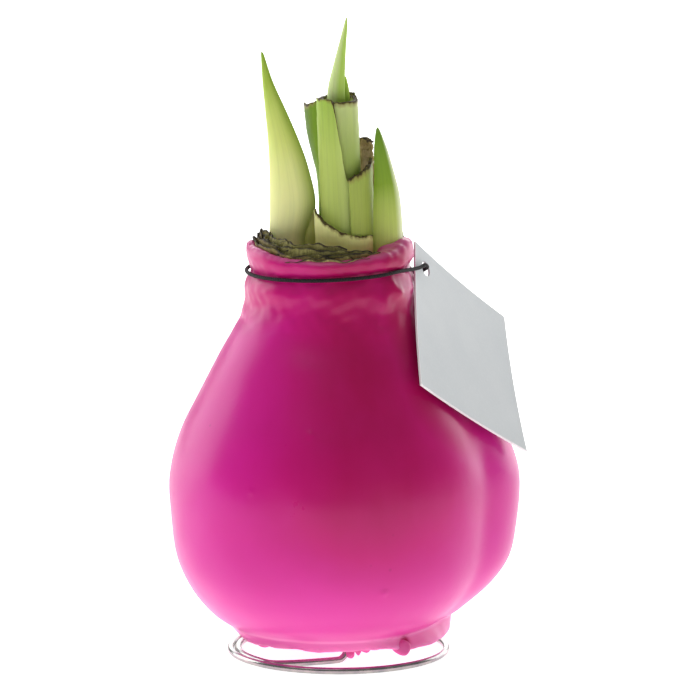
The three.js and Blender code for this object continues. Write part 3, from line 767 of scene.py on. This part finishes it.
def build_dry_scales():
    olive = scale_material("scale_olive", (196, 190, 118), (120, 112, 58))
    brown = scale_material("scale_brown", (170, 154, 98), (92, 76, 42))
    # each flap: from and to azimuth, foot and top radius, foot and top height, seed
    layers = {
        "dry_scale_left": (brown, [
            (128, 236, 18.6, 19.6, 102, 108.6, 61), (146, 224, 18.0, 18.6, 102, 109.8, 62),
            (170, 190, 17.6, 17.9, 103, 111.0, 63)]),
        "dry_scale_left_inner": (olive, [
            (140, 252, 17.4, 17.2, 101, 109.2, 64), (160, 240, 16.6, 15.6, 101, 110.2, 65)]),
        "dry_scale_front": (olive, [
            (234, 312, 18.8, 21.0, 103, 106.7, 66), (222, 296, 18.5, 19.8, 102, 107.3, 67),
            (246, 318, 18.2, 18.8, 102, 107.9, 74)]),
        "dry_scale_front_inner": (olive, [
            (224, 308, 17.6, 17.6, 101, 108.8, 68), (214, 286, 16.9, 16.2, 101, 109.8, 69)]),
        "dry_scale_back": (brown, [
            (44, 130, 18.6, 19.4, 102, 108.8, 70), (60, 112, 18.0, 18.2, 102, 109.6, 71)]),
        "dry_scale_back_inner": (olive, [(40, 138, 17.2, 16.8, 101, 109.8, 72)]),
        "dry_scale_right": (brown, [(4, 46, 18.6, 19.0, 102, 109.6, 73)]),
    }
    for name, (material, flaps) in layers.items():
        verts, faces, fields = join([flap(*row) for row in flaps])
        make(name, verts, faces, material, [name], fields)


# ---------------------------------------------------------------- stand, tag and elastic

WIRE = 0.9  # radius


def wire_route():
    """From the spike in the bulb, down to the table and outwards into the coil."""
    x, y, r, first, z = 2.6, -2.4, 28.6, 26.3, WIRE
    spike = (4.4, -16.8)
    points = [(*spike, 24), (*spike, 13.6), (*spike, 4.2), (spike[0] - 1.1, spike[1] - 0.5, z + 0.5),
              (spike[0] - 3.4, spike[1] - 1.4, z), (x - 7.6, y - 17.9, z), (x - 13.0, y - 19.3, z)]
    for share in np.linspace(0, 1, 37):
        angle = math.radians(227 - 438 * share)
        radius = first + (r - first) * min(1, share * 1.25)
        points.append((x + radius * math.cos(angle), y + radius * math.sin(angle), z))
    return points


def build_stand():
    path = spline(wire_route(), 420)
    path[:, 2] = np.maximum(path[:, 2], WIRE)

    def ends(ring, share):
        past = np.maximum(0, np.abs(share - 0.5) - 0.4985) / 0.0015
        return np.sqrt(np.clip(1 - past ** 2, 0.04, 1)) + 0 * ring

    verts, faces, fields = tube(path, WIRE, sides=28, shape=ends)
    make("wire_coil", verts, faces, steel_material(), ["wire_stand"], fields)


TAG = dict(side=44.0, thick=0.55, bow=2.5, hole=2.0, inset=5.4, azimuth=-24.9, lean=27.3, spin=37.2)
TAG_CORNER = np.array([20, 5, 106.2])


def tag_axes():
    azimuth, lean, spin = (math.radians(TAG[k]) for k in ("azimuth", "lean", "spin"))
    out = np.array([math.cos(lean) * math.cos(azimuth), math.cos(lean) * math.sin(azimuth), math.sin(lean)])
    level = np.cross((0, 0, 1), out)
    level /= np.linalg.norm(level)
    rising = np.cross(out, level)
    top = level * math.cos(spin) - rising * math.sin(spin)
    return top, np.cross(out, top), out


def on_tag(along, down, proud):
    """A place on the card, along its top edge and down its left edge from the corner by the hole."""
    top, left, out = tag_axes()
    along, down, proud = (np.asarray(v, float)[..., None] for v in (along, down, proud))
    bow = TAG["bow"] * ((along + down) / TAG["side"] - 1) ** 2
    return TAG_CORNER + top * along - left * down + out * (proud + bow)


def build_tag():
    side, thick, inset = TAG["side"], TAG["thick"], TAG["inset"]
    corners = [math.atan2(b - inset, a - inset) for a, b in ((side, side), (0, side), (0, 0), (side, 0))]
    angles = np.sort(np.concatenate([np.linspace(0, TAU, 236, endpoint=False), np.mod(corners, TAU)]))
    ray = np.stack([np.cos(angles), np.sin(angles)], axis=1)
    with np.errstate(divide="ignore"):
        limit = np.where(ray > 0, (side - inset) / ray, -inset / ray)
    edge = np.abs(limit).min(axis=1)
    share = np.linspace(0, 1, 60)[:, None] ** 1.15
    reach = TAG["hole"] + (edge - TAG["hole"]) * share
    a, d = inset + reach * ray[:, 0], inset + reach * ray[:, 1]
    columns, rows = len(angles), len(share)
    front, back = on_tag(a, d, thick / 2 + 0 * a), on_tag(a, d, -thick / 2 + 0 * a)
    verts = np.vstack([front.reshape(-1, 3), back.reshape(-1, 3)])
    faces = rings_to_faces(rows, columns).tolist()
    faces += rings_to_faces(rows, columns, first=rows * columns)[:, ::-1].tolist()
    shift, last = rows * columns, (rows - 1) * columns
    for j in range(columns):
        k = (j + 1) % columns
        faces += [[k, j, j + shift, k + shift], [last + j, last + k, last + k + shift, last + j + shift]]
    rim = np.minimum(np.minimum(a, side - a), np.minimum(d, side - d))
    fields = {"rim": np.tile(rim.ravel(), 2)}
    card = make("card_tag", verts, faces, card_material(), ["tag"], fields)
    card.data.polygons.foreach_set("use_smooth", [False] * len(card.data.polygons))


def elastic_route():
    neck = []
    for share in np.linspace(0, 1, 21):
        turn = math.radians(326 + (38 - 326) * share)
        z = 101.5 + 0.9 * math.cos(turn)
        neck.append((21.65 * math.cos(turn), 21.65 * math.sin(turn), z))
    inset = TAG["inset"]
    rest = [(inset + 1.4, inset + 0.4, -2.6), (inset + 0.2, inset, -0.9), (inset - 0.3, inset, 0.9),
            (inset - 2.6, inset + 0.8, 1.5), (0.2, inset + 3.0, 1.2)]
    return neck + [tuple(on_tag(*place)) for place in rest]


CORD, KNOT_CORD = 0.5, 0.42  # radii
KNOT = np.array([-1.9, 22.4, 101.4])


def build_elastic():
    loop = tube(spline(elastic_route(), 640, closed=True), CORD, sides=14, closed=True)
    t = np.linspace(0, TAU, 90, endpoint=False)
    knot = np.stack([np.sin(t) + 2 * np.sin(2 * t), np.cos(t) - 2 * np.cos(2 * t), -np.sin(3 * t)], axis=1)
    knot = knot * (0.42, 0.34, 0.42)
    tie = tube(knot[:, [0, 2, 1]] + KNOT, KNOT_CORD, sides=12, closed=True)
    tails = [tube(spline([KNOT, (-2.6 * s - 1.2, 23.2, 100.2), (-3.4 * s - 1.0, 23.2, 97.6),
                          (-3.0 * s - 0.6, 23.4, 95.4)], 60), KNOT_CORD, sides=12) for s in (1, -0.6)]
    verts, faces, fields = join([loop, tie, *tails])
    make("elastic_loop_cord", verts, faces, elastic_material(), ["elastic_loop"], fields)


# ---------------------------------------------------------------- studio

def build_studio():
    target = Vector((0, 0, 0.08))
    mesh = bpy.data.meshes.new("studio_floor")
    mesh.from_pydata([(-6, -6, 0), (6, -6, 0), (6, 12, 0), (-6, 12, 0)], [], [(0, 1, 2, 3)])
    mesh.materials.append(floor_material())
    floor = bpy.data.objects.new("studio_floor", mesh)
    bpy.context.scene.collection.objects.link(floor)

    world = bpy.data.worlds.new("studio_world")
    world.use_nodes = True
    sky = world.node_tree.nodes["Background"]
    sky.inputs["Color"].default_value = (1, 1, 1, 1)
    sky.inputs["Strength"].default_value = 0.25
    bpy.context.scene.world = world

    for name, place, size, power in (
        ("left_softbox", (-1.05, 0.65, 0.45), 1.1, 8),
        ("right_softbox", (1.0, 1.0, 0.4), 1.1, 7),
        ("back_softbox", (0.0, 1.2, 0.7), 1.4, 10),
        ("top_softbox", (-0.3, -0.3, 1.3), 1.0, 3),
    ):
        light = bpy.data.lights.new(name, "AREA")
        light.shape = "DISK"
        light.size = size
        light.energy = power
        lamp = bpy.data.objects.new(name, light)
        lamp.location = place
        lamp.rotation_euler = (target - Vector(place)).to_track_quat("-Z", "Y").to_euler()
        bpy.context.scene.collection.objects.link(lamp)

    camera = bpy.data.cameras.new("photo_camera")
    camera.lens = 384
    camera.sensor_width = 36
    camera.clip_end = 50
    view = bpy.data.objects.new("photo_camera", camera)
    view.location = (0, -1.9, 0.423)
    view.rotation_euler = (target - view.location).to_track_quat("-Z", "Y").to_euler()
    bpy.context.scene.collection.objects.link(view)
    bpy.context.scene.camera = view
    bpy.context.scene.view_settings.view_transform = "Standard"


build_wax()
build_bulb()
build_leaves()
build_dry_scales()
build_stand()
build_tag()
build_elastic()
build_studio()

bpy.context.view_layer.update()
